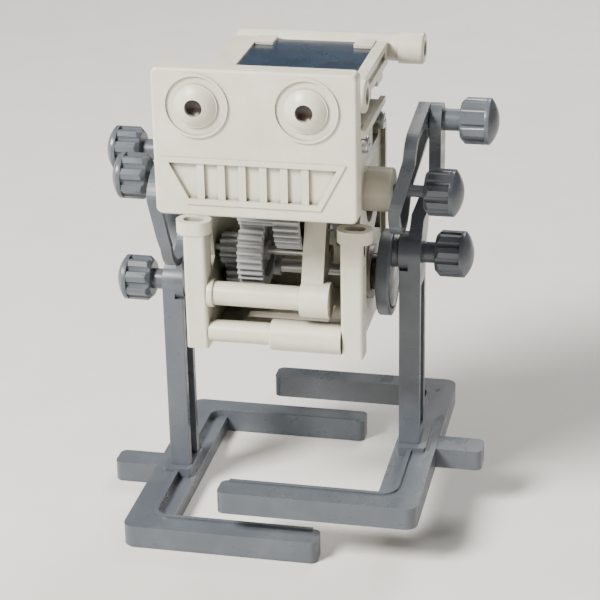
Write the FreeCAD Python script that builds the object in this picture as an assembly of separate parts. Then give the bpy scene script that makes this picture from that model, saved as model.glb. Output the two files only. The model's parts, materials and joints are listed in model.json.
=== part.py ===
import FreeCAD, Part
import math
import os

# Walking robot with a solar panel.  Millimetres; X across, Y from front to back, Z up.
# Shapes are drawn with the front posts near y = -13 and moved by SHIFT_Y when written,
# so that the middle of the footprint is the origin and the standing sole is at z = 0.

# ---------------------------------------------------------------- driving dimensions
HEAD_W = 41.5          # face plate width
HEAD_H = 30.8          # face plate height
HEAD_TOP = 110.3       # height of the top of the head above the ground
HEAD_FRONT = -26.0     # front of the face plate
HEAD_DEPTH = 4.0       # depth of the face shell
HEAD_WALL = 1.4
HEAD_SKIN = 2.0        # thickness of the face itself
EYE_X = 11.1
EYE_Z = 102.8
FACE_X = -0.5          # eyes and mouth sit slightly left of the plate's middle
EYE_RING_R = 6.6
EYE_DOME_R = 4.3
PUPIL_R = 1.8

SIDE_IN = 15.0         # inner face of a side frame
SIDE_OUT = 17.5        # outer face of a side frame
POST_X0 = 14.5
POST_X1 = 19.3
POST_Y0 = -13.0
POST_Y1 = -8.0
BODY_Z0 = 43.8
BODY_Z1 = 92.0
BODY_Y1 = 22.0
POST_TOP = 70.0

AXLE = (7.0, 56.0)     # drive axle (y, z)
GUIDE = (2.0, 77.0)    # side boss and guide knob (y, z)
CRANK_R = 5.2          # crank throw
CRANK_DISC_R = 9.5
PIN_R = 2.4            # crank pin boss

LEG_X0 = 26.2          # leg bar, inner face
LEG_X1 = 29.0
UP_X0 = 29.2           # upper part of the leg bar, stepped outwards
UP_X1 = 31.8
STEP_Z = (64.0, 72.0)  # heights between which the leg steps outwards
LINK_X0 = 23.6         # lower end of the link
LINK_X1 = 26.0
LINK_TOP_X0 = 26.4     # upper end of the link
LINK_TOP_X1 = 29.0
LINK_TOP = (16.4, 83.2)   # upper end of the leg, crank at mid height
LEG_W = 8.4

FOOT_LEN = 64.0
FOOT_OUT = 32.7        # outer edge of the foot
FOOT_BAR = 6.0         # width of the bar the foot is bent from
FOOT_LEDGE = 3.6       # lower ledge along the inside of the foot
FOOT_RIM = 0.9         # raised rim along the inner edge
FOOT_H = 5.0
FOOT_TIP = -11.0       # prong tips reach past the middle by this much
STUB_X = 43.0

KNOB_R = 5.05
KNOB_LEN = 8.2

GEAR_M = 0.5           # gear module
N_BIG = 30
N_SMALL = 12
CENTRE = 0.5 * GEAR_M * (N_BIG + N_SMALL) + 0.06
GEAR_FACE = 5.4

PANEL_HW = 17.0        # half width over the rails
PANEL_X = 1.2          # the panel sits this far right of the middle
RAIL_W = {1: 2.4, -1: 5.4}  # the left rail is the wider one
PANEL_Y0 = -11.0
PANEL_Y1 = 31.0
PANEL_Z1 = 102.8
RAIL_H = 5.0
TUBE_R = 3.0
REAR_TUBE_END = 26.0   # right end of the rear tube
FRONT_TUBE_END = 19.6

FIT = 0.05             # radial running clearance
PRESS = 0.02           # radial gap left in a push fit

DOME_RISE = 1.9        # eye dome height
RING_RISE = 0.45       # raised ring round an eye
DOME_R = (EYE_DOME_R ** 2 + DOME_RISE ** 2) / (2 * DOME_RISE)
EYE_FRONT = HEAD_FRONT - RING_RISE - (math.sqrt(DOME_R ** 2 - PUPIL_R ** 2) - (DOME_R - DOME_RISE))
SHIFT_Y = -0.5 * (EYE_FRONT + AXLE[0] + 0.5 * FOOT_LEN)

V = FreeCAD.Vector
parts = {}


# ---------------------------------------------------------------- helpers
def box(x0, x1, y0, y1, z0, z1):
    return Part.makeBox(x1 - x0, y1 - y0, z1 - z0, V(x0, y0, z0))


def cyl_x(x0, x1, y, z, r):
    return Part.makeCylinder(r, x1 - x0, V(x0, y, z), V(1, 0, 0))


def cyl_y(y0, y1, x, z, r):
    return Part.makeCylinder(r, y1 - y0, V(x, y0, z), V(0, 1, 0))


def cyl_z(z0, z1, x, y, r):
    return Part.makeCylinder(r, z1 - z0, V(x, y, z0), V(0, 0, 1))


def fuse(shapes):
    out = shapes[0]
    if len(shapes) > 1:
        out = out.multiFuse(shapes[1:])
    return out.removeSplitter()


def cut(shape, tools):
    return shape.cut(tools)


def prism_yz(points, x0, x1):
    loop = [V(x0, y, z) for y, z in points]
    face = Part.Face(Part.makePolygon(loop + [loop[0]]))
    return face.extrude(V(x1 - x0, 0, 0))


def prism_xz(points, y0, y1):
    loop = [V(x, y0, z) for x, z in points]
    face = Part.Face(Part.makePolygon(loop + [loop[0]]))
    return face.extrude(V(0, y1 - y0, 0))


def prism_xy(points, z0, z1):
    loop = [V(x, y, z0) for x, y in points]
    face = Part.Face(Part.makePolygon(loop + [loop[0]]))
    return face.extrude(V(0, 0, z1 - z0))


def capsule_yz(a, ra, b, rb, x0, x1):
    """Flat bar in the YZ plane: the outline round two circles."""
    dy, dz = b[0] - a[0], b[1] - a[1]
    length = math.hypot(dy, dz)
    base = math.atan2(dz, dy)
    lean = math.acos((ra - rb) / length)
    pts = []
    for sign in (1, -1):
        ang = base + sign * lean
        pair = [(a[0] + ra * math.cos(ang), a[1] + ra * math.sin(ang)),
                (b[0] + rb * math.cos(ang), b[1] + rb * math.sin(ang))]
        pts += pair if sign == 1 else pair[::-1]
    return fuse([prism_yz(pts, x0, x1), cyl_x(x0, x1, a[0], a[1], ra), cyl_x(x0, x1, b[0], b[1], rb)])


def round_edges(shape, radius, test):
    edges = [e for e in shape.Edges if test(e)]
    return shape.makeFillet(radius, edges) if edges else shape


def runs_along(edge, axis):
    d = edge.Vertexes[-1].Point.sub(edge.Vertexes[0].Point)
    comp = {"x": abs(d.x), "y": abs(d.y), "z": abs(d.z)}
    return d.Length > 1e-6 and comp[axis] > 0.999 * d.Length


def mirror_x(shape):
    return shape.mirror(V(0, 0, 0), V(1, 0, 0))


def lift(shape, dz):
    out = shape.copy()
    out.translate(V(0, 0, dz))
    return out


def both_sides(name, shape):
    parts["right_" + name] = shape
    parts["left_" + name] = mirror_x(shape)


# ---------------------------------------------------------------- knobs
def knob(x0, stub_r, stub_len, y, z, shank_r, shank_in):
    """Fluted push knob: shank, thin stub, eight-sided grip and a domed end."""
    x1 = x0 + stub_len
    grip_end = x1 + 0.66 * KNOB_LEN
    end = x1 + KNOB_LEN
    solids = [cyl_x(x0 - shank_in, x0 + 0.2, y, z, shank_r)]
    if stub_len > 0:
        solids.append(cyl_x(x0, x1, y, z, stub_r))
    pts = []
    for i in range(8):
        ang = math.pi * (2 * i + 1) / 8
        pts.append((y + KNOB_R * math.cos(ang), z + KNOB_R * math.sin(ang)))
    grip = prism_yz(pts, x1, grip_end)
    bevel = Part.makeCone(KNOB_R - 1.1, KNOB_R + 0.3, 1.4, V(x1, y, z), V(1, 0, 0))
    bevel = bevel.fuse(cyl_x(x1 + 1.4, grip_end, y, z, KNOB_R + 0.3))
    solids.append(grip.common(bevel))
    collar_r = KNOB_R
    solids.append(cyl_x(grip_end, grip_end + 0.9, y, z, collar_r))
    rise = end - grip_end - 0.9
    ball_r = (collar_r ** 2 + rise ** 2) / (2 * rise)
    ball = Part.makeSphere(ball_r, V(end - ball_r, y, z))
    solids.append(ball.common(cyl_x(grip_end + 0.9, end + 1, y, z, collar_r)))
    grooves = []
    for i in range(8):
        ang = math.pi * i / 4
        gy = y + (KNOB_R * math.cos(math.pi / 8) + 0.25) * math.cos(ang)
        gz = z + (KNOB_R * math.cos(math.pi / 8) + 0.25) * math.sin(ang)
        grooves.append(cyl_x(x1 - 0.1, grip_end, gy, gz, 0.75))
    return cut(fuse(solids), grooves)


# ---------------------------------------------------------------- gears
def gear(teeth, y, z, x0, x1, phase):
    """Involute spur gear about an X axis, one tooth centred at angle phase."""
    rp = 0.5 * GEAR_M * teeth
    rb = rp * math.cos(math.radians(20))
    tip = rp + 0.8 * GEAR_M
    root = rp - 1.15 * GEAR_M
    inv20 = math.tan(math.radians(20)) - math.radians(20)
    half = (0.25 * math.pi * GEAR_M - 0.05) / rp

    def half_angle(r):
        if r <= rb:
            return half + inv20
        a = math.acos(rb / r)
        return half + inv20 - (math.tan(a) - a)

    low = max(rb, root)
    radii = [low + (tip - low) * k / 5 for k in range(6)]
    flank = [(root, half_angle(low) + 0.02)] if root < rb else []
    flank += [(r, half_angle(r)) for r in radii]
    pts = []
    for k in range(teeth):
        mid = phase + 2 * math.pi * k / teeth
        side = [(r, mid - h) for r, h in flank] + [(r, mid + h) for r, h in reversed(flank)]
        pts += [(y + r * math.cos(a), z + r * math.sin(a)) for r, a in side]
    return prism_yz(pts, x0, x1)


def mesh_phase(phase_a, n_a, centre_a, n_b, centre_b):
    """Phase that puts gear b in mesh with gear a."""
    line = math.atan2(centre_b[1] - centre_a[1], centre_b[0] - centre_a[0])
    p = (line - phase_a) * n_a / (2 * math.pi)
    return line + math.pi - (0.5 - p) * 2 * math.pi / n_b


def step_from(point, angle_deg):
    a = math.radians(angle_deg)
    return (point[0] + CENTRE * math.cos(a), point[1] + CENTRE * math.sin(a))


IDLER_LOW = step_from(AXLE, 140)        # second-stage gear
IDLER_TOP = step_from(IDLER_LOW, 105)   # first-stage gear
MOTOR = step_from(IDLER_TOP, 0)

R_BIG = 0.5 * GEAR_M * N_BIG
X_AXLE_GEAR = (-13.2, -9.4)
X_GEAR2 = (-8.7, -8.7 + GEAR_FACE)
X_GEAR1 = (0.0, GEAR_FACE)
PIN_IDLER_R = 0.9
SHAFT_R = 1.5

phase_axle = math.radians(90)
axle_gear = gear(N_BIG, AXLE[0], AXLE[1], X_AXLE_GEAR[0], X_AXLE_GEAR[1], phase_axle)
axle_gear = fuse([axle_gear, cyl_x(X_AXLE_GEAR[0] - 0.6, X_AXLE_GEAR[1] + 0.5, AXLE[0], AXLE[1], 3.0),
                  cyl_x(X_AXLE_GEAR[1], X_AXLE_GEAR[1] + 7.0, AXLE[0], AXLE[1], 2.2)])
web = cyl_x(X_AXLE_GEAR[1] - 1.2, X_AXLE_GEAR[1] + 0.1, AXLE[0], AXLE[1], R_BIG - 1.6)
web = web.cut(cyl_x(X_AXLE_GEAR[0], X_AXLE_GEAR[1] + 0.2, AXLE[0], AXLE[1], 3.0))
parts["axle_gear"] = cut(axle_gear, [web, cyl_x(-20, 20, AXLE[0], AXLE[1], SHAFT_R + PRESS)])

phase_low = mesh_phase(phase_axle, N_BIG, AXLE, N_SMALL, IDLER_LOW)
phase_top = mesh_phase(phase_low, N_BIG, IDLER_LOW, N_SMALL, IDLER_TOP)
phase_motor = mesh_phase(phase_top, N_BIG, IDLER_TOP, N_SMALL, MOTOR)


def compound(centre, phase, big, small_x0):
    """Big gear and pinion moulded as one, free on an idler pin."""
    y, z = centre
    body = gear(N_BIG, y, z, big[0], big[1], phase)
    rim = R_BIG - 1.7
    recess = cyl_x(big[1] - 1.3, big[1] + 0.1, y, z, rim).cut(cyl_x(big[0], big[1] + 1, y, z, 2.2))
    pinion = gear(N_SMALL, y, z, small_x0, big[0], phase)
    return cut(fuse([body.cut(recess), pinion]), [cyl_x(-20, 20, y, z, PIN_IDLER_R + FIT)])


parts["second_stage_gear"] = compound(IDLER_LOW, phase_low, X_GEAR2, -13.6)
parts["first_stage_gear"] = compound(IDLER_TOP, phase_top, X_GEAR1, X_GEAR2[0] - 0.1)
pinion = gear(N_SMALL, MOTOR[0], MOTOR[1], X_GEAR1[0] + 0.2, X_GEAR1[1] - 0.2, phase_motor)
parts["motor_pinion"] = cut(pinion, [cyl_x(-20, 20, MOTOR[0], MOTOR[1], 0.8 + PRESS)])
parts["motor_shaft"] = cyl_x(X_GEAR1[0] - 0.6, 12.0, MOTOR[0], MOTOR[1], 0.8)

# ---------------------------------------------------------------- motor
CAN_R = 7.6
CAN_X0 = 6.4
CAN_X1 = 12.8
CAP_X1 = 14.6
BRACKET_X0 = 10.8
my, mz = MOTOR
can = cyl_x(CAN_X0, CAN_X1, my, mz, CAN_R)
can = round_edges(can, 0.8, lambda e: e.BoundBox.XMax < CAN_X0 + 0.01)
can = can.cut(cyl_x(CAN_X0 + 0.6, CAN_X1 + 1, my, mz, CAN_R - 0.6))
can = fuse([can, cyl_x(CAN_X0 - 0.8, CAN_X0 + 0.3, my, mz, 2.0)])
parts["motor_can"] = cut(can, [cyl_x(0, 10, my, mz, 0.8 + FIT)])
cap = fuse([cyl_x(CAN_X1, CAP_X1, my, mz, CAN_R - 0.1), cyl_x(CAN_X1 - 3, CAN_X1, my, mz, CAN_R - 0.7)])
TAB_Y = (my - 2.6, my + 2.6)
slots = [box(13.3, 13.9, y - 1.0, y + 1.0, mz + 4.5, mz + 9) for y in TAB_Y]
parts["motor_end_cap"] = cut(cap, slots + [cyl_x(9, 12.2, my, mz, 0.8 + FIT)])
tabs = []
for y in TAB_Y:
    tab = box(13.35, 13.85, y - 0.9, y + 0.9, mz + 4.6, mz + 10.6)
    tabs.append(tab.cut(cyl_x(13, 14.5, y, mz + 9.6, 0.4)))
parts["motor_terminals"] = Part.makeCompound(tabs)
ring = cyl_x(BRACKET_X0, 12.6, my, mz, 9.4).cut(cyl_x(9, 13, my, mz, CAN_R + PRESS))
POSTS = [(my + 9.2 * math.cos(math.radians(a)), mz + 9.2 * math.sin(math.radians(a))) for a in (25, 250)]
posts = [cyl_x(BRACKET_X0, SIDE_IN, y, z, 1.5).cut(cyl_x(9, 16, my, mz, CAN_R + PRESS)) for y, z in POSTS]
parts["motor_bracket"] = cut(fuse([ring] + posts), [cyl_x(9, 16, my, mz, CAN_R + PRESS)])

# ---------------------------------------------------------------- side frames
outline = [(POST_Y1 - 0.5, BODY_Z0), (19.5, BODY_Z0), (BODY_Y1, 47), (BODY_Y1, 87.5), (17.5, BODY_Z1),
           (0, BODY_Z1), (-5, 87), (-5, 73), (-8.5, 69.0), (POST_Y1 - 0.5, 60)]
plate = prism_yz(outline, SIDE_IN, SIDE_OUT)
plate = round_edges(plate, 1.2, lambda e: runs_along(e, "x") and e.BoundBox.YMax > 15)
post = box(POST_X0, POST_X1, POST_Y0, POST_Y1, BODY_Z0, POST_TOP)
post = round_edges(post, 0.8, lambda e: runs_along(e, "z"))
LOOP_X = 17.3
LOOP_Y = -10.5
loop = box(LOOP_X - 1.0, LOOP_X + 1.0, LOOP_Y - 2.8, LOOP_Y + 2.8, POST_TOP - 0.2, POST_TOP + 2.6)
loop = fuse([loop] + [cyl_z(POST_TOP - 0.2, POST_TOP + 2.6, LOOP_X + s * 1.0, LOOP_Y, 2.8) for s in (-1, 1)])
slot = fuse([box(LOOP_X - 1.0, LOOP_X + 1.0, LOOP_Y - 1.3, LOOP_Y + 1.3, POST_TOP - 3.5, POST_TOP + 3)] +
            [cyl_z(POST_TOP - 3.5, POST_TOP + 3, LOOP_X + s * 1.0, LOOP_Y, 1.3) for s in (-1, 1)])
boss = cyl_x(SIDE_OUT - 0.2, 23.4, GUIDE[0], GUIDE[1], 4.75)
boss = round_edges(boss, 0.5, lambda e: e.BoundBox.XMin > 23.3)
pad = cyl_x(SIDE_OUT - 0.2, SIDE_OUT + 0.8, AXLE[0], AXLE[1], 6.0)
ribs = [box(SIDE_OUT - 0.2, SIDE_OUT + 1.0, -4.5, 20.5, 90.3, BODY_Z1 - 0.2),
        box(SIDE_OUT - 0.2, SIDE_OUT + 1.0, 20.4, BODY_Y1 - 0.1, 49, 86)]
side = fuse([plate, post, loop, boss, pad] + ribs)
windows = [prism_yz([(11.5, 64.5), (19.0, 61.5), (19.0, 69.5)], 14, 19),
           prism_yz([(-3.0, 61.5), (-6.3, 58.0), (-6.3, 66.5), (-4.6, 68.5)], 14, 19),
           box(14, 19, 9.5, 17.0, 84.0, 88.4)]
TONGUE_Z = (77.5, 82.5)
arm_slot = box(15.5 - PRESS, 17.0 + PRESS, -6, -2.6, TONGUE_Z[0] - PRESS, TONGUE_Z[1] + PRESS)
holes = [slot, arm_slot, cyl_x(10, 24, GUIDE[0], GUIDE[1], 1.3 + PRESS), cyl_x(14, 19, AXLE[0], AXLE[1], 3.0 + PRESS)]
pins = [cyl_x(14, 16.6, p[0], p[1], PIN_IDLER_R + PRESS) for p in (IDLER_LOW, IDLER_TOP)]
SCREWS = [(17.5, 50.0), (18.0, 87.0), (-1.5, 88.1)]
screw_holes = [cyl_x(14, 19, y, z, 1.05) for y, z in SCREWS]
right_side = cut(side, windows + holes + screw_holes + [cyl_x(14, 19, my, mz, 5.2)])
left_side = cut(side, windows + holes + screw_holes + pins)
parts["right_side_frame"] = right_side
parts["left_side_frame"] = mirror_x(left_side)

for name, p in (("lower_idler_pin", IDLER_LOW), ("upper_idler_pin", IDLER_TOP)):
    pin = cyl_x(-16.5, 10.2, p[0], p[1], PIN_IDLER_R)
    parts[name] = pin.makeChamfer(0.2, [e for e in pin.Edges if e.Length < 6.5 and e.Closed])

# ---------------------------------------------------------------- bushes and screws
bush = fuse([cyl_x(SIDE_IN, SIDE_OUT + 0.8, AXLE[0], AXLE[1], 3.0), cyl_x(SIDE_OUT + 0.8, 19.4, AXLE[0], AXLE[1], 4.0)])
both_sides("axle_bush", cut(bush, [cyl_x(14, 20, AXLE[0], AXLE[1], SHAFT_R + FIT)]))

screws = []
for y, z in SCREWS:
    top = SIDE_OUT + 1.3
    head = cyl_x(SIDE_OUT, top, y, z, 1.9)
    head = round_edges(head, 0.5, lambda e: e.BoundBox.XMin > top - 0.05)
    cross = [box(top - 0.6, top + 1, y - 1.1, y + 1.1, z - 0.22, z + 0.22),
             box(top - 0.6, top + 1, y - 0.22, y + 0.22, z - 1.1, z + 1.1)]
    screws.append(cut(fuse([head, cyl_x(12.0, SIDE_OUT + 0.2, y, z, 1.0)]), cross))
parts["body_screws"] = Part.makeCompound(screws + [mirror_x(s) for s in screws])

# ---------------------------------------------------------------- decks, cover, cross bars
base = box(-SIDE_IN, SIDE_IN, -6.0, 20.0, BODY_Z0, BODY_Z0 + 2.0)
bosses = [box(s * 13.0 - 2.0, s * 13.0 + 2.0, 15.2, 19.8, BODY_Z0 + 1.8, 52.4) for s in (-1, 1)]
lugs = [box(-9, 9, -3.6, -2.2, BODY_Z0 + 1.8, BODY_Z0 + 3.2), box(-4, 4, 12, 14, BODY_Z0 + 1.8, BODY_Z0 + 2.8)]
base = fuse([base] + bosses + lugs)
base = cut(base, [cyl_x(s * 13.5 - 2.6, s * 13.5 + 2.6, 17.5, 50.0, 1.05) for s in (-1, 1)] +
           [box(-9, 9, 1, 4, BODY_Z0 - 1, BODY_Z0 + 3), box(-9, 9, 7, 10, BODY_Z0 - 1, BODY_Z0 + 3)])
parts["base_plate"] = base

deck = box(-SIDE_IN, SIDE_IN, -4.0, 19.8, 89.0, 91.0)
deck = fuse([deck] + [box(s * 13.0 - 2.0, s * 13.0 + 2.0, 15.8, 19.6, 84.8, 89.2) for s in (-1, 1)] +
            [box(s * 13.0 - 2.0, s * 13.0 + 2.0, -3.8, 0.9, 86.4, 89.2) for s in (-1, 1)] +
            [box(-12, 12, 7.0, 8.4, 91.0 - 0.2, 92.4), box(-12, 12, 0.6, 2.0, 91.0 - 0.2, 92.4)])
deck = cut(deck, [cyl_x(s * 13.5 - 2.6, s * 13.5 + 2.6, y, z, 1.05) for s in (-1, 1) for y, z in SCREWS[1:]])
PANEL_TAB_X = (12.2, 14.9)
parts["top_deck"] = deck

cover = box(-SIDE_IN, SIDE_IN, 20.0 + PRESS, BODY_Y1, BODY_Z0, 88.0)
cover = round_edges(cover, 0.7, lambda e: runs_along(e, "x") and e.BoundBox.YMin > 21)
vents = [box(-9.0, 9.0, 19, 23, 60.0 + 4.0 * i, 61.8 + 4.0 * i) for i in range(5)]
frame_line = box(-12, 12, 21.4, 23, 51, 85).cut(box(-11.2, 11.2, 21, 24, 51.8, 84.2))
parts["rear_cover"] = cut(cover, vents + [frame_line])

BAR_Y = -10.5
UP_Z = 56.0
LOW_Z = 47.2
upper = cyl_x(-POST_X0, 11.4, BAR_Y, UP_Z, 2.6)
upper = fuse([upper, cyl_x(-POST_X0, -POST_X0 + 1.2, BAR_Y, UP_Z, 3.1)])
parts["upper_crossbar"] = upper
lower = fuse([cyl_x(-POST_X0, -0.9, BAR_Y, LOW_Z, 2.4), cyl_x(-1.0, POST_X0, BAR_Y, LOW_Z, 3.4)])
parts["lower_crossbar"] = round_edges(lower, 0.5, lambda e: abs(e.BoundBox.XMin + 1.0) < 0.01 and e.BoundBox.ZLength > 6)

ARM_X = (5.8, 10.5)
collar = cyl_x(ARM_X[0], 12.0, BAR_Y, UP_Z, 3.9)
arm = fuse([collar,
            capsule_yz((BAR_Y + 0.8, UP_Z + 1.0), 2.4, IDLER_TOP, 2.2, ARM_X[0], ARM_X[1]),
            capsule_yz((-7.6, 61.5), 1.9, IDLER_LOW, 2.0, ARM_X[0], ARM_X[1])])
arm_holes = [cyl_x(ARM_X[0] - 1, ARM_X[1] + 1, p[0], p[1], PIN_IDLER_R + PRESS) for p in (IDLER_LOW, IDLER_TOP)]
parts["gear_arm"] = cut(arm, arm_holes + [cyl_x(-16, 11.4 + PRESS, BAR_Y, UP_Z, 2.6 + PRESS)])

# ---------------------------------------------------------------- axle and cranks
parts["drive_axle"] = cyl_x(-22.2, 22.2, AXLE[0], AXLE[1], SHAFT_R)


def crank(up):
    """Right-hand crank disc, hub and hollow crank pin; up is +1 or -1."""
    y, z = AXLE
    pz = z + up * CRANK_R
    disc = cyl_x(20.0, 22.8, y, z, CRANK_DISC_R)
    disc = round_edges(disc, 0.4, lambda e: e.BoundBox.ZLength > 15)
    ring_cut = cyl_x(22.0, 23, y, z, 8.2).cut(cyl_x(21, 24, y, z, 7.4))
    solids = [disc.cut(ring_cut), cyl_x(19.6, 20.1, y, z, 3.2), cyl_x(22.7, LEG_X1 + 0.3, y, pz, PIN_R),
              cyl_x(22.7, 23.9, y, pz, 3.6)]
    holes_c = [cyl_x(19, 22.25, y, z, SHAFT_R + PRESS), cyl_x(24.0, 31, y, pz, 1.3 + PRESS)]
    return cut(fuse(solids), holes_c)


def crank_knob(up):
    return knob(LEG_X1 + 0.35, 2.3, 2.6, AXLE[0], AXLE[1] + up * CRANK_R, 1.3, 5.2)


parts["right_crank"] = crank(1)
parts["left_crank"] = mirror_x(crank(-1))
parts["right_crank_knob"] = crank_knob(1)
parts["left_crank_knob"] = mirror_x(crank_knob(-1))
both_sides("guide_knob", knob(30.2, 1.3, 0.0, GUIDE[0], GUIDE[1], 1.3, 14.0))

# ---------------------------------------------------------------- legs and feet
SOLE = CRANK_R                      # sole height with the crank level
foot_top = SOLE + FOOT_H
LEG_Y = AXLE[0]


def hull_outline(circles, steps=14):
    """Corner points of the outline round a set of circles (y, z, r)."""
    pts = []
    for cy, cz, r in circles:
        for k in range(steps * 4):
            a = 2 * math.pi * k / (steps * 4)
            pts.append((cy + r * math.cos(a), cz + r * math.sin(a)))
    pts = sorted(set((round(p[0], 6), round(p[1], 6)) for p in pts))

    def chain(seq):
        out = []
        for p in seq:
            while len(out) > 1:
                (ay, az), (by, bz) = out[-2], out[-1]
                if (by - ay) * (p[1] - az) - (bz - az) * (p[0] - ay) <= 0:
                    out.pop()
                else:
                    break
            out.append(p)
        return out[:-1]
    return chain(pts) + chain(pts[::-1])


ty, tz = LINK_TOP
gy, gz = GUIDE
orbit = 1.3 + CRANK_R + 0.3          # space swept round the guide knob's shank
low_end = (gy - 1.0, gz - 6.0)
rim = 1.5
outer = prism_yz(hull_outline([(low_end[0], low_end[1], orbit + rim), (gy, gz, orbit + rim),
                               (ty, tz, 3.6)]), LINK_X0, LINK_TOP_X1)
inner = prism_yz(hull_outline([(low_end[0], low_end[1], orbit), (gy, gz, orbit),
                               (ty - 6.2, tz - 0.6, 1.0)]), LINK_X0 - 1, LINK_TOP_X1 + 1)
link = fuse([outer.cut(inner), cyl_x(LINK_X0, LINK_TOP_X1, ty, tz, 3.6)])
# the link leans outwards: a slanted slab trims the outline to its thickness
slab = prism_xz([(LINK_X0, 55), (LINK_X0, 70), (LINK_TOP_X0, 81), (LINK_TOP_X0, 95),
                 (LINK_TOP_X1, 95), (LINK_TOP_X1, 80), (LINK_X1, 69), (LINK_X1, 55)], -30, 40)
link = link.common(slab)
link = cut(link, [cyl_x(LINK_X0 - 1, LINK_TOP_X1 + 1, ty, tz, 1.3 + PRESS)])

bar_up = capsule_yz((ty, tz - 15.0), 3.4, (ty, tz), 3.6, LEG_X0, UP_X1)
bar_mid = capsule_yz((LEG_Y, AXLE[1]), 4.2, (ty, tz - 15.0), 3.4, LEG_X0, UP_X1)
bar_low = box(LEG_X0, LEG_X1, LEG_Y - 0.5 * LEG_W, LEG_Y + 0.5 * LEG_W, foot_top + 1.0, AXLE[1])
leg_slab = prism_xz([(LEG_X0, 5), (LEG_X0, STEP_Z[0]), (UP_X0, STEP_Z[1]), (UP_X0, 95), (UP_X1, 95),
                     (UP_X1, STEP_Z[1] - 1.0), (LEG_X1, STEP_Z[0] - 1.0), (LEG_X1, 5)], -30, 40)
hub = cyl_x(24.1, LEG_X1, LEG_Y, AXLE[1], 4.4)
ribs_low = [box(LEG_X0 - 1.8, LEG_X0 + 0.1, y, y + 1.8, foot_top + 1.0, AXLE[1] - 3.0)
            for y in (LEG_Y - 0.5 * LEG_W, LEG_Y + 0.5 * LEG_W - 1.8)]
tongue = box(LEG_X0, LEG_X1, LEG_Y - 3.0, LEG_Y + 3.0, foot_top - 2.4, foot_top + 1.1)
leg = fuse([fuse([bar_mid, bar_up]).common(leg_slab), bar_low, hub, tongue] + ribs_low)
groove = box(LEG_X1 - 1.2, LEG_X1 + 1, LEG_Y - 2.3, LEG_Y + 2.3, foot_top + 4, AXLE[1] - 7)
leg = cut(leg, [groove, cyl_x(23, 31, LEG_Y, AXLE[1], PIN_R + FIT),
                cyl_x(LEG_X0 - 1, UP_X1 + 1, ty, tz, 1.3 + PRESS)])

y0 = LEG_Y - 0.5 * FOOT_LEN
y1 = LEG_Y + 0.5 * FOOT_LEN
inner_x = FOOT_OUT - FOOT_BAR
BEND_R = 3.0
foot = fuse([box(inner_x, FOOT_OUT, y0, y1, SOLE, foot_top),
             box(FOOT_TIP, FOOT_OUT, y0, y0 + FOOT_BAR, SOLE, foot_top),
             box(FOOT_TIP, FOOT_OUT, y1 - FOOT_BAR, y1, SOLE, foot_top)])
foot = round_edges(foot, BEND_R, lambda e: runs_along(e, "z") and abs(e.BoundBox.XMin - inner_x) < 0.01)
foot = round_edges(foot, 1.6, lambda e: runs_along(e, "z") and e.BoundBox.XMin < FOOT_TIP + 0.01)
foot = round_edges(foot, 2.6, lambda e: runs_along(e, "z") and e.BoundBox.XMin > FOOT_OUT - 0.01)
ledge = box(inner_x - FOOT_LEDGE, inner_x + 0.5, y0 + 2.0, y1 - 2.0, SOLE, foot_top - 1.3)


def foot_rim(s):
    """Half of the raised rim, along one prong and round its bend; s is -1 at the front, +1 at the back."""
    edge = LEG_Y + s * (0.5 * FOOT_LEN - FOOT_BAR)
    mid_x = inner_x - BEND_R
    mid_y = edge - s * BEND_R
    z_a = foot_top - 0.1
    z_b = foot_top + 0.45
    ring = cyl_z(z_a, z_b, mid_x, mid_y, BEND_R + FOOT_RIM).cut(cyl_z(z_a - 1, z_b + 1, mid_x, mid_y, BEND_R))
    far_y = mid_y + s * 6
    bend = ring.common(box(mid_x, mid_x + 6, min(mid_y, far_y), max(mid_y, far_y), z_a - 1, z_b + 1))
    out_y = edge + s * FOOT_RIM
    prong = box(FOOT_TIP + 1.8, mid_x + 0.01, min(edge, out_y), max(edge, out_y), z_a, z_b)
    side = box(inner_x, inner_x + FOOT_RIM, min(LEG_Y, mid_y), max(LEG_Y, mid_y), z_a, z_b)
    return fuse([bend, prong, side])


stub = box(FOOT_OUT - 1.0, STUB_X, LEG_Y - 3.2, LEG_Y + 3.2, SOLE, foot_top - 0.3)
stub = round_edges(stub, 1.6, lambda e: runs_along(e, "z") and e.BoundBox.XMin > STUB_X - 0.01)
collar_f = box(LEG_X0 - 2.2, LEG_X1 + 1.6, LEG_Y - 6.2, LEG_Y + 6.2, SOLE + 2.0, foot_top + 1.0)
collar_f = round_edges(collar_f, 0.8, lambda e: runs_along(e, "z"))
foot = fuse([foot, ledge, stub, collar_f, foot_rim(-1), foot_rim(1)])
foot = cut(foot, [box(LEG_X0 - PRESS, LEG_X1 + PRESS, LEG_Y - 3.0 - PRESS, LEG_Y + 3.0 + PRESS,
                      foot_top - 2.4 - PRESS, foot_top + 2)])

link_knob = knob(UP_X1, 2.4, 3.9, ty, tz, 1.3, UP_X1 - LINK_TOP_X0 - 0.2)

for side_name, up in (("right_", 1), ("left_", -1)):
    for name, shape in (("leg", leg), ("foot", foot), ("link", link), ("link_knob", link_knob)):
        solid = lift(shape, up * CRANK_R)
        parts[side_name + name] = solid if up > 0 else mirror_x(solid)

# ---------------------------------------------------------------- head
hx = 0.5 * HEAD_W
hz0 = HEAD_TOP - HEAD_H
hy1 = HEAD_FRONT + HEAD_DEPTH
shell = box(-hx, hx, HEAD_FRONT, hy1, hz0, HEAD_TOP)
shell = round_edges(shell, 1.4, lambda e: runs_along(e, "y"))
shell = round_edges(shell, 0.6, lambda e: e.BoundBox.YMax < HEAD_FRONT + 0.01)
hollow = box(-hx + HEAD_WALL, hx - HEAD_WALL, HEAD_FRONT + HEAD_SKIN, hy1 + 1, hz0 + HEAD_WALL, HEAD_TOP - HEAD_WALL)
shell = shell.cut(hollow)

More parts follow.
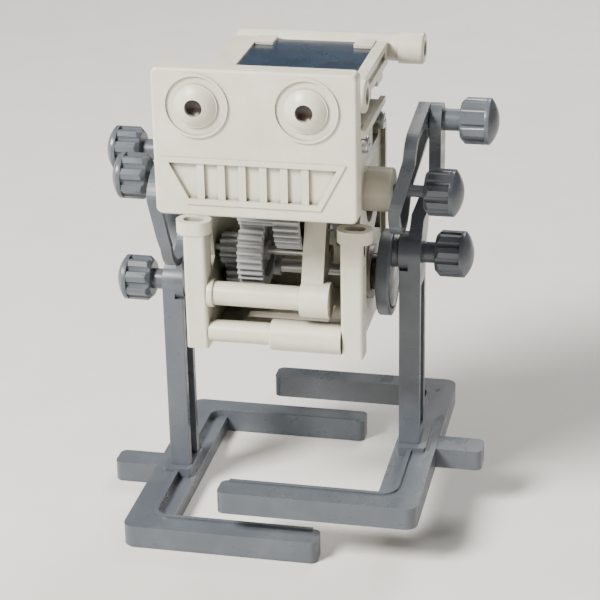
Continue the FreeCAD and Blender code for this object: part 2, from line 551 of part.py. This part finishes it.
MOUTH_TOP = HEAD_TOP - 0.597 * HEAD_H
MOUTH_LOW = HEAD_TOP - 0.915 * HEAD_H
MOUTH_DEEP = 0.75
MOUTH_HT = 0.458 * HEAD_W
MOUTH_HB = 0.333 * HEAD_W


def mouth(grow, y_a, y_b):
    run = MOUTH_HT - MOUTH_HB
    tall = MOUTH_TOP - MOUTH_LOW
    side_in = grow * math.hypot(run, tall) / tall
    top = MOUTH_HT + side_in + grow * run / tall
    low = MOUTH_HB + side_in - grow * run / tall
    return prism_xz([(FACE_X - top, MOUTH_TOP + grow), (FACE_X + top, MOUTH_TOP + grow),
                     (FACE_X + low, MOUTH_LOW - grow), (FACE_X - low, MOUTH_LOW - grow)], y_a, y_b)


lip = mouth(0.0, HEAD_FRONT - 0.35, HEAD_FRONT + 0.5).cut(mouth(-1.1, HEAD_FRONT - 1, HEAD_FRONT + 1))
eyes = [cyl_y(HEAD_FRONT - RING_RISE, HEAD_FRONT + 0.5, FACE_X + s * EYE_X, EYE_Z, EYE_RING_R) for s in (-1, 1)]
shell = fuse([shell, lip] + eyes)
recess = mouth(-1.1, HEAD_FRONT - 1, HEAD_FRONT + MOUTH_DEEP)
TOOTH_PITCH = 0.103 * HEAD_W
fin_xs = [FACE_X + (i - 2.5) * TOOTH_PITCH for i in range(6)]
fins = [box(x - 0.75, x + 0.75, HEAD_FRONT - 0.2, HEAD_FRONT + 1.5, MOUTH_LOW + 0.5, MOUTH_TOP - 0.5)
        for x in fin_xs]
recess = cut(recess, fins)
eye_seats = [cyl_y(HEAD_FRONT - 1, HEAD_FRONT + 2.6, FACE_X + s * EYE_X, EYE_Z, 3.4 + PRESS) for s in (-1, 1)]
eye_grooves = [cyl_y(HEAD_FRONT - 1, HEAD_FRONT + 0.0, FACE_X + s * EYE_X, EYE_Z, EYE_RING_R - 0.5).cut(
    cyl_y(HEAD_FRONT - 1, HEAD_FRONT + 0.0, FACE_X + s * EYE_X, EYE_Z, EYE_DOME_R + 0.2)) for s in (-1, 1)]
shell = cut(shell, [recess] + eye_seats + eye_grooves)
SOCKET_Y = hy1 + 2.2
socket_walls = [box(s * 16.0 - 3.2, s * 16.0 + 3.2, HEAD_FRONT + 1.0, SOCKET_Y, 84.4, 91.6) for s in (-1, 1)]
shell = fuse([shell] + socket_walls)
peg = [box(s * 16.0 - 1.4 - PRESS, s * 16.0 + 1.4 + PRESS, hy1 - 1.2, SOCKET_Y + 1, 86.0 - PRESS, 90.0 + PRESS)
       for s in (-1, 1)]
parts["head_shell"] = cut(shell, peg)

face_y = HEAD_FRONT - RING_RISE


def eye(s):
    x = FACE_X + s * EYE_X
    ball = Part.makeSphere(DOME_R, V(x, face_y - DOME_RISE + DOME_R, EYE_Z))
    dome = ball.common(cyl_y(face_y - DOME_RISE - 1, face_y, x, EYE_Z, EYE_DOME_R))
    stem = cyl_y(face_y - 0.3, HEAD_FRONT + 2.4, x, EYE_Z, 3.4)
    return cut(fuse([dome, stem]), [cyl_y(face_y - 5, face_y + 1.4, x, EYE_Z, PUPIL_R)])


def pupil(s):
    x = FACE_X + s * EYE_X
    plug = cyl_y(face_y - 0.5, face_y + 1.35, x, EYE_Z, PUPIL_R - PRESS)
    return plug.cut(Part.makeSphere(3.4, V(x, face_y - 3.4, EYE_Z)))


parts["left_eye"] = eye(-1)
parts["right_eye"] = eye(1)
parts["left_pupil"] = pupil(-1)
parts["right_pupil"] = pupil(1)

ARM_FRONT = -8.4
ARM_BACK = -5.0 - PRESS
arm_up = box(14.6, 17.4, ARM_FRONT, ARM_BACK, POST_TOP + 3.4, 90.0)
arm_fwd = box(14.6, 17.4, hy1 - 1.1, ARM_FRONT + 1.0, 86.0, 90.0)
arm_tongue = box(15.5, 17.0, ARM_FRONT + 1.0, -2.8, TONGUE_Z[0], TONGUE_Z[1])
brace = prism_yz([(ARM_FRONT + 0.1, 82.0), (ARM_FRONT + 0.1, 86.2), (ARM_FRONT - 4.2, 86.2)], 15.4, 16.6)
both_sides("head_arm", fuse([arm_up, arm_fwd, arm_tongue, brace]))

# ---------------------------------------------------------------- solar panel
rail_z0 = PANEL_Z1 - RAIL_H
tube_z = PANEL_Z1 - 2.2
FRONT_TUBE_Y = PANEL_Y0 + TUBE_R
REAR_TUBE_Y = PANEL_Y1 - TUBE_R
RAIL_Y0 = FRONT_TUBE_Y + TUBE_R + 0.02
RAIL_Y1 = REAR_TUBE_Y - TUBE_R - 0.02


def rail(s):
    """Side rail of the panel with two tabs that stand on the top deck; s is +1 right, -1 left."""
    def slab(a, b, y_a, y_b, z_a, z_b):
        return box(min(a, b), max(a, b), y_a, y_b, z_a, z_b)

    out = PANEL_X + s * PANEL_HW
    wide = RAIL_W[s]
    solids = [slab(out - s * wide, out, RAIL_Y0, RAIL_Y1, rail_z0, PANEL_Z1),
              slab(out - s * (wide + 1.2), out - s * (wide - 0.1), RAIL_Y0, RAIL_Y1, rail_z0 + 1.0, rail_z0 + 2.2)]
    for y_a, y_b, foot in ((-2.6, 4.6, 91.0), (12.0, 18.4, 93.6)):
        solids.append(slab(s * PANEL_TAB_X[0], s * PANEL_TAB_X[1], y_a, y_b, foot, rail_z0 + 0.1))
        solids.append(slab(s * PANEL_TAB_X[0], out, y_a, y_b, rail_z0 - 1.4, rail_z0 + 0.1))
    groove = slab(out - s * 0.8, out + s * 2, -4, 22, rail_z0 + 1.6, rail_z0 + 3.4)
    return cut(fuse(solids), [cyl_x(-20, 20, 1.0, 94.6, 1.1), groove])


parts["panel_right_rail"] = rail(1)
parts["panel_left_rail"] = rail(-1)


def panel_tube(y, end, bulb):
    """Cross tube, flush on the left, with a thicker end of length bulb on the right."""
    left = PANEL_X - PANEL_HW
    tube = fuse([cyl_x(left, end, y, tube_z, TUBE_R),
                 cyl_x(end - bulb, end, y, tube_z, TUBE_R + 0.5)])
    tube = round_edges(tube, 0.7, lambda e: e.BoundBox.XMin > end - 0.01)
    bores = [cyl_x(left - 1, left + 3.5, y, tube_z, TUBE_R - 1.0), cyl_x(end - 5, end + 1, y, tube_z, TUBE_R - 1.2)]
    return cut(tube, bores)


parts["panel_front_tube"] = panel_tube(FRONT_TUBE_Y, FRONT_TUBE_END, 1.3)
parts["panel_rear_tube"] = panel_tube(REAR_TUBE_Y, REAR_TUBE_END, 5.6)

cell_y0 = FRONT_TUBE_Y + TUBE_R + 0.1
cell_y1 = REAR_TUBE_Y - TUBE_R - 0.1
cell_xa = PANEL_X - PANEL_HW + RAIL_W[-1] + 0.05
cell_xb = PANEL_X + PANEL_HW - RAIL_W[1] - 0.05
parts["cell_backing"] = box(cell_xa, cell_xb, cell_y0, cell_y1, rail_z0 + 2.25, rail_z0 + 3.4)
parts["solar_cell"] = box(cell_xa, cell_xb, cell_y0, cell_y1, rail_z0 + 3.42, rail_z0 + 4.5)
clips = []
for x_a in (cell_xa, cell_xb - 4.2):
    for cy in (cell_y0, cell_y1 - 5.0):
        clips.append(box(x_a, x_a + 4.2, cy, cy + 5.0, rail_z0 + 4.52, PANEL_Z1 + 0.3))
parts["panel_clips"] = Part.makeCompound(clips)
TERM_Y = cell_y0 + 1.6
TERM = [(11.4, TERM_Y), (8.6, TERM_Y)]
terms = [box(x - 0.9, x + 0.9, y - 1.5, y + 1.5, rail_z0 + 1.8, rail_z0 + 2.23) for x, y in TERM]
parts["panel_terminals"] = Part.makeCompound(terms)

# ---------------------------------------------------------------- write
os.makedirs("parts", exist_ok=True)
for name in sorted(parts):
    shape = parts[name].copy()
    shape.translate(V(0, SHIFT_Y, 0))
    shape.exportStep("parts/" + name + ".step")
print(len(parts), "nodes; shift", SHIFT_Y)
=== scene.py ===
import json
import math

import bpy
from mathutils import Matrix, Vector

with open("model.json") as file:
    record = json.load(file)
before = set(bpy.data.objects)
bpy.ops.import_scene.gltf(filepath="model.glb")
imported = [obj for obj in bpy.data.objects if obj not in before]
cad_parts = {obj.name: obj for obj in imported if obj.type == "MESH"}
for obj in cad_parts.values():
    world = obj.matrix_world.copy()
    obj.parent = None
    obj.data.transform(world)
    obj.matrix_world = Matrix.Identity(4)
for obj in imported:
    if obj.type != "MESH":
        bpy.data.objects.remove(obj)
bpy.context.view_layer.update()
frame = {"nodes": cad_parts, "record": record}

MM = 0.001
NODES = frame["nodes"]

# ---------------------------------------------------------------- sizes of the surface detail
CLOUD = 9 * MM            # soft patches of colour in the plastic
FLOW = 2.2 * MM           # streaks left by the plastic as it filled the mould
SPECK = 0.35 * MM         # fine specks
GRAIN = 0.16 * MM         # grain of the mould's surface
WAVE = 4 * MM             # slow unevenness of a moulded face
SMEAR = 5 * MM            # patches of handling marks
CORNER_SHADE_REACH = 2 * MM     # how far painted shade reaches from a corner
CAVITY_SHADE_REACH = 16 * MM    # reach of the painted shade that darkens deep hollows
WORN_AND_LIT_EDGE = 0.35 * MM     # width of the lighter line along an edge: partly wear, partly painted highlight
CRYSTAL = 3 * MM          # crystals of the solar cell
RIPPLE = 7 * MM           # waves in the cell's resin coat
DUST = 0.3 * MM           # grains of dust on the cell
BRUSH = 0.25 * MM         # lines in the metal
EDGE_ROUND = 0.22 * MM    # radius put on the hard edges of moulded parts
EDGE_ANGLE = math.radians(40)      # edges sharper than this are rounded
WELD_REACH = 0.002 * MM   # joins doubled vertices before rounding

WAVE_DEPTH = 0.02 * MM
RIPPLE_DEPTH = 0.05 * MM
CRYSTAL_STEP = 0.004 * MM
BRUSH_DEPTH = 0.004 * MM
SCATTER_DEPTH = 0.6 * MM  # how far light travels inside the white plastic
CREVICE_SAMPLES = 6
EDGE_SAMPLES = 4


# ---------------------------------------------------------------- node helpers
class Mat:
    """A material built from procedural nodes round one Principled shader."""

    def __init__(self, name):
        self.mat = bpy.data.materials.new(name)
        self.mat.use_nodes = True
        self.tree = self.mat.node_tree
        self.tree.nodes.clear()
        self.out = self.add("ShaderNodeOutputMaterial")
        self.bsdf = self.add("ShaderNodeBsdfPrincipled")
        self.link(self.bsdf.outputs["BSDF"], self.out.inputs["Surface"])
        self.coord = self.add("ShaderNodeTexCoord").outputs["Object"]

    def add(self, kind, **props):
        node = self.tree.nodes.new(kind)
        for key, value in props.items():
            setattr(node, key, value)
        return node

    def link(self, a, b):
        self.tree.links.new(a, b)

    def set(self, **values):
        for key, value in values.items():
            self.bsdf.inputs[key.replace("_", " ")].default_value = value

    def noise(self, size, detail, rough, stretch=(1, 1, 1)):
        """Noise in 0..1 whose grains are about size metres."""
        scale = self.add("ShaderNodeMapping")
        scale.inputs["Scale"].default_value = stretch
        self.link(self.coord, scale.inputs["Vector"])
        tex = self.add("ShaderNodeTexNoise")
        tex.inputs["Scale"].default_value = 1.0 / size
        tex.inputs["Detail"].default_value = detail
        tex.inputs["Roughness"].default_value = rough
        self.link(scale.outputs["Vector"], tex.inputs["Vector"])
        return tex.outputs["Fac"]

    def ramp(self, source, stops):
        node = self.add("ShaderNodeValToRGB")
        ramp = node.color_ramp
        while len(ramp.elements) < len(stops):
            ramp.elements.new(0.5)
        for element, (pos, colour) in zip(ramp.elements, stops):
            element.position = pos
            element.color = (*colour, 1.0)
        self.link(source, node.inputs["Fac"])
        return node.outputs["Color"]

    def span(self, source, low, high, new_low, new_high):
        """Maps low..high on to new_low..new_high and clamps."""
        node = self.add("ShaderNodeMapRange")
        limits = {"From Min": low, "From Max": high, "To Min": new_low, "To Max": new_high}
        for key, value in limits.items():
            node.inputs[key].default_value = value
        self.link(source, node.inputs["Value"])
        return node.outputs["Result"]

    def mix(self, factor, a, b):
        """Mixes colour a with colour b, a plain colour, by the socket factor."""
        node = self.add("ShaderNodeMix", data_type="RGBA")
        self.link(factor, node.inputs[0])
        self.link(a, node.inputs[6])
        node.inputs[7].default_value = (*b, 1.0)
        return node.outputs[2]

    def scaled(self, source, gain):
        node = self.add("ShaderNodeMath", operation="MULTIPLY")
        self.link(source, node.inputs[0])
        node.inputs[1].default_value = gain
        return node.outputs["Value"]

    def crevice(self, distance):
        """1 in the open and towards 0 in corners and hollows."""
        node = self.add("ShaderNodeAmbientOcclusion", samples=CREVICE_SAMPLES, only_local=False)
        node.inputs["Distance"].default_value = distance
        return node.outputs["AO"]

    def edge(self, radius):
        """0 on flat faces and rising along edges."""
        bevel = self.add("ShaderNodeBevel", samples=EDGE_SAMPLES)
        bevel.inputs["Radius"].default_value = radius
        normal = self.add("ShaderNodeNewGeometry").outputs["Normal"]
        dot = self.add("ShaderNodeVectorMath", operation="DOT_PRODUCT")
        self.link(bevel.outputs["Normal"], dot.inputs[0])
        self.link(normal, dot.inputs[1])
        return self.span(dot.outputs["Value"], 0.99, 0.80, 0.0, 1.0)

    def bumps(self, layers):
        """Stacks bump layers given as (height socket, depth in metres)."""
        normal = None
        for height, depth in layers:
            node = self.add("ShaderNodeBump")
            node.inputs["Strength"].default_value = 1.0
            node.inputs["Distance"].default_value = depth
            self.link(height, node.inputs["Height"])
            if normal is not None:
                self.link(normal, node.inputs["Normal"])
            normal = node.outputs["Normal"]
        self.link(normal, self.bsdf.inputs["Normal"])


def dimmed(colour, gain):
    return tuple(gain * c for c in colour)


def moulded_plastic(name, base, shade, light, rough, grain, edge_wear_and_highlight, corner_shade_tint, scatter=0.0, hollow_shade=0.0):
    """Injection-moulded plastic: cloudy colour, fine grain, handling marks, painted shade in corners
    and hollows, edges lightened by wear and a painted highlight.

    grain is the depth of the surface's grain; the arguments after it give, in order, how strongly
    edges lighten by wear and a painted highlight, the tint of the painted shade in corners, the
    subsurface weight, and how strongly painted shade darkens deep hollows.
    """
    m = Mat(name)
    colour = m.ramp(m.noise(CLOUD, 4.0, 0.6), [(0.30, shade), (0.55, base), (0.78, light)])
    flow = m.noise(FLOW, 2.0, 0.5, stretch=(1.0, 1.0, 0.25))
    colour = m.mix(m.span(flow, 0.35, 0.7, 0.0, 0.35), colour, shade)
    specks = m.noise(SPECK, 2.0, 0.6)
    colour = m.mix(m.span(specks, 0.45, 0.80, 0.0, 0.10), colour, dimmed(base, 0.8))
    # painted shade: corners and creases are darkened towards a tint of the base colour by ambient
    # occlusion
    corner_shade = tuple(c * d for c, d in zip(base, corner_shade_tint))
    colour = m.mix(m.span(m.crevice(CORNER_SHADE_REACH), 0.70, 0.15, 0.0, 0.5), colour, corner_shade)
    # painted shade: deep hollows are darkened further, towards a dim tint, by ambient occlusion of
    # long reach
    if hollow_shade:
        depth = m.crevice(CAVITY_SHADE_REACH)
        colour = m.mix(m.span(depth, 0.54, 0.14, 0.0, hollow_shade), colour, dimmed(corner_shade, 0.16))
    # edges lightened towards the light tone: partly wear, partly a painted highlight
    colour = m.mix(m.scaled(m.edge(WORN_AND_LIT_EDGE), edge_wear_and_highlight), colour, light)
    m.link(colour, m.bsdf.inputs["Base Color"])
    smear = m.noise(SMEAR, 2.0, 0.5, stretch=(1.0, 0.4, 1.6))
    m.link(m.span(smear, 0.3, 0.75, rough - 0.08, rough + 0.12), m.bsdf.inputs["Roughness"])
    m.set(IOR=1.5, Coat_Weight=0.06, Coat_Roughness=0.25)
    if scatter:
        m.set(Subsurface_Weight=scatter, Subsurface_Scale=SCATTER_DEPTH,
              Subsurface_Radius=(1.0, 0.75, 0.5))
    m.bumps([(m.noise(WAVE, 2.0, 0.5), WAVE_DEPTH), (m.noise(GRAIN, 3.0, 0.6), grain)])
    return m.mat


def metal(name, base, shade, rough):
    """Drawn metal with fine lines round the X axis."""
    m = Mat(name)
    line = m.noise(BRUSH, 4.0, 0.65, stretch=(1, 12, 12))
    m.link(m.ramp(line, [(0.3, shade), (0.7, base)]), m.bsdf.inputs["Base Color"])
    m.link(m.span(line, 0.3, 0.7, rough, rough + 0.16), m.bsdf.inputs["Roughness"])
    m.set(Metallic=1.0)
    m.bumps([(line, BRUSH_DEPTH)])
    return m.mat


def cell_skin(name):
    """Deep blue crystalline cell under a clear resin coat."""
    m = Mat(name)
    flake = m.add("ShaderNodeTexVoronoi")
    flake.inputs["Scale"].default_value = 1.0 / CRYSTAL
    m.link(m.coord, flake.inputs["Vector"])
    tone = m.add("ShaderNodeSeparateColor")
    m.link(flake.outputs["Color"], tone.inputs["Color"])
    colour = m.ramp(tone.outputs["Red"], [(0.0, (0.0025, 0.014, 0.034)), (0.5, (0.004, 0.020, 0.046)),
                                          (1.0, (0.006, 0.027, 0.062))])
    haze = m.noise(CLOUD, 2.0, 0.5)
    colour = m.mix(m.span(haze, 0.40, 0.70, 0.0, 0.35), colour, (0.005, 0.018, 0.042))
    dust = m.noise(DUST, 2.0, 0.6)
    colour = m.mix(m.span(dust, 0.72, 0.82, 0.0, 0.15), colour, (0.10, 0.12, 0.14))
    m.link(colour, m.bsdf.inputs["Base Color"])
    m.link(m.span(haze, 0.3, 0.75, 0.22, 0.32), m.bsdf.inputs["Roughness"])
    m.set(IOR=1.42, Coat_Weight=0.25, Coat_Roughness=0.10)
    m.bumps([(m.noise(RIPPLE, 1.0, 0.4), RIPPLE_DEPTH), (tone.outputs["Green"], CRYSTAL_STEP)])
    return m.mat


# ---------------------------------------------------------------- materials
WHITE = moulded_plastic("warm_white_plastic", base=(0.71, 0.68, 0.58), shade=(0.64, 0.605, 0.50),
                        light=(0.78, 0.755, 0.66), rough=0.34, grain=0.010 * MM, edge_wear_and_highlight=0.25,
                        corner_shade_tint=(0.42, 0.37, 0.30), scatter=0.06, hollow_shade=0.9)
GREY = moulded_plastic("blue_grey_plastic", base=(0.094, 0.109, 0.130), shade=(0.080, 0.093, 0.113),
                       light=(0.122, 0.140, 0.163), rough=0.32, grain=0.010 * MM, edge_wear_and_highlight=0.55,
                       corner_shade_tint=(0.4, 0.4, 0.42))
GEAR = moulded_plastic("gear_plastic", base=(0.38, 0.39, 0.40), shade=(0.31, 0.32, 0.332),
                       light=(0.50, 0.51, 0.52), rough=0.40, grain=0.008 * MM, edge_wear_and_highlight=0.4,
                       corner_shade_tint=(0.38, 0.38, 0.38), hollow_shade=0.35)
DARK = moulded_plastic("dark_brown_plastic", base=(0.030, 0.017, 0.012), shade=(0.018, 0.010, 0.008),
                       light=(0.07, 0.045, 0.035), rough=0.30, grain=0.006 * MM, edge_wear_and_highlight=0.2,
                       corner_shade_tint=(0.55, 0.5, 0.42))
BACKING = moulded_plastic("backing_board", base=(0.07, 0.075, 0.06), shade=(0.05, 0.055, 0.045),
                          light=(0.12, 0.12, 0.10), rough=0.5, grain=0.012 * MM, edge_wear_and_highlight=0.2,
                          corner_shade_tint=(0.55, 0.5, 0.42))
STEEL = metal("plain_steel", base=(0.62, 0.62, 0.63), shade=(0.44, 0.44, 0.45), rough=0.26)
BRASS = metal("plain_brass", base=(0.78, 0.60, 0.30), shade=(0.60, 0.43, 0.19), rough=0.28)
CELL = cell_skin("blue_cell")

BY_SLOT = {"white_plastic": WHITE, "grey_plastic": GREY, "gear_plastic": GEAR, "dark_plastic": DARK,
           "steel": STEEL, "brass": BRASS, "cell": CELL}
BY_NODE = {"cell_backing": BACKING}
ROUNDED_SLOTS = ("white_plastic", "grey_plastic")
ROUNDED_IN_CAD = ("left_eye", "right_eye", "head_shell")


def soften(obj, radius):
    """Rounds the hard edges of a moulded part by radius."""
    obj.modifiers.new("weld", "WELD").merge_threshold = WELD_REACH
    bevel = obj.modifiers.new("edge_round", "BEVEL")
    bevel.width = radius
    bevel.segments = 2
    bevel.limit_method = "ANGLE"
    bevel.angle_limit = EDGE_ANGLE
    bevel.use_clamp_overlap = True
    obj.modifiers.new("normals", "WEIGHTED_NORMAL").keep_sharp = True


SLOT_OF = {s["node"]: s["material_slot"] for s in frame["record"]["subparts"]}
for name, obj in NODES.items():
    obj.data.materials.clear()
    obj.data.materials.append(BY_NODE.get(name) or BY_SLOT[SLOT_OF[name]])
    if SLOT_OF[name] in ROUNDED_SLOTS and name not in ROUNDED_IN_CAD:
        soften(obj, EDGE_ROUND)

# ---------------------------------------------------------------- floor
FLOOR_REACH = 3.0
FLOOR_DROP = 0.2 * MM
FLOOR_FIBRE = 20 * MM
floor_mesh = bpy.data.meshes.new("floor")
floor_mesh.from_pydata([(-FLOOR_REACH, -FLOOR_REACH, 0), (FLOOR_REACH, -FLOOR_REACH, 0),
                        (FLOOR_REACH, FLOOR_REACH, 0), (-FLOOR_REACH, FLOOR_REACH, 0)],
                       [], [(0, 1, 2, 3)])
floor = bpy.data.objects.new("floor", floor_mesh)
bpy.context.scene.collection.objects.link(floor)
floor.location.z = -FLOOR_DROP
paper = Mat("floor_paper")
fibre = paper.noise(FLOOR_FIBRE, 4.0, 0.6)
paper.link(paper.ramp(fibre, [(0.3, (0.78, 0.76, 0.73)), (0.7, (0.82, 0.80, 0.77))]),
           paper.bsdf.inputs["Base Color"])
paper.set(Roughness=0.75)
floor_mesh.materials.append(paper.mat)

# ---------------------------------------------------------------- lights
LIT_POINT = Vector((0.0, 0.0, 0.06))
WARM_GREY = (0.95, 0.93, 0.89, 1.0)
SKY = 0.19


def soft_light(name, at, size, power, colour):
    """Round lamp of size metres and power watts that faces the robot."""
    data = bpy.data.lights.new(name, "AREA")
    data.shape = "DISK"
    data.size = size
    data.energy = power
    data.color = colour
    lamp = bpy.data.objects.new(name, data)
    lamp.location = at
    lamp.rotation_mode = "QUATERNION"
    lamp.rotation_quaternion = (LIT_POINT - Vector(at)).to_track_quat("-Z", "Y")
    bpy.context.scene.collection.objects.link(lamp)


soft_light("key", at=(-0.40, -0.46, 0.60), size=0.30, power=17.5, colour=(1.0, 0.965, 0.90))
soft_light("fill", at=(0.60, -0.40, 0.30), size=0.60, power=0.8, colour=(1.0, 0.96, 0.90))
soft_light("back", at=(0.15, 0.65, 0.60), size=0.45, power=5.0, colour=(1.0, 0.98, 0.95))

world = bpy.data.worlds.new("studio")
world.use_nodes = True
background = world.node_tree.nodes["Background"]
background.inputs["Color"].default_value = WARM_GREY
background.inputs["Strength"].default_value = SKY
bpy.context.scene.world = world

# ---------------------------------------------------------------- camera
AZIMUTH = math.radians(12.66)      # to the viewer's right of the face
ELEVATION = math.radians(22.66)    # looking down
ROLL = math.radians(-1.13)
DISTANCE = 0.427
ORBIT_POINT = Vector((0.0, -0.0003, 0.055))
AIM = Vector((0.0023, -0.0022, 0.0495))
LENS = 116.4
SENSOR = 36.0
NEAREST = 0.02

outward = Vector((math.sin(AZIMUTH) * math.cos(ELEVATION), -math.cos(AZIMUTH) * math.cos(ELEVATION),
                  math.sin(ELEVATION)))
camera_data = bpy.data.cameras.new("camera")
camera_data.sensor_width = SENSOR
camera_data.lens = LENS
camera_data.clip_start = NEAREST
camera = bpy.data.objects.new("camera", camera_data)
camera.location = ORBIT_POINT + outward * DISTANCE
camera.rotation_mode = "QUATERNION"
look = (AIM - camera.location).to_track_quat("-Z", "Y")
camera.rotation_quaternion = look @ Matrix.Rotation(ROLL, 3, "Z").to_quaternion()
bpy.context.scene.collection.objects.link(camera)
bpy.context.scene.camera = camera
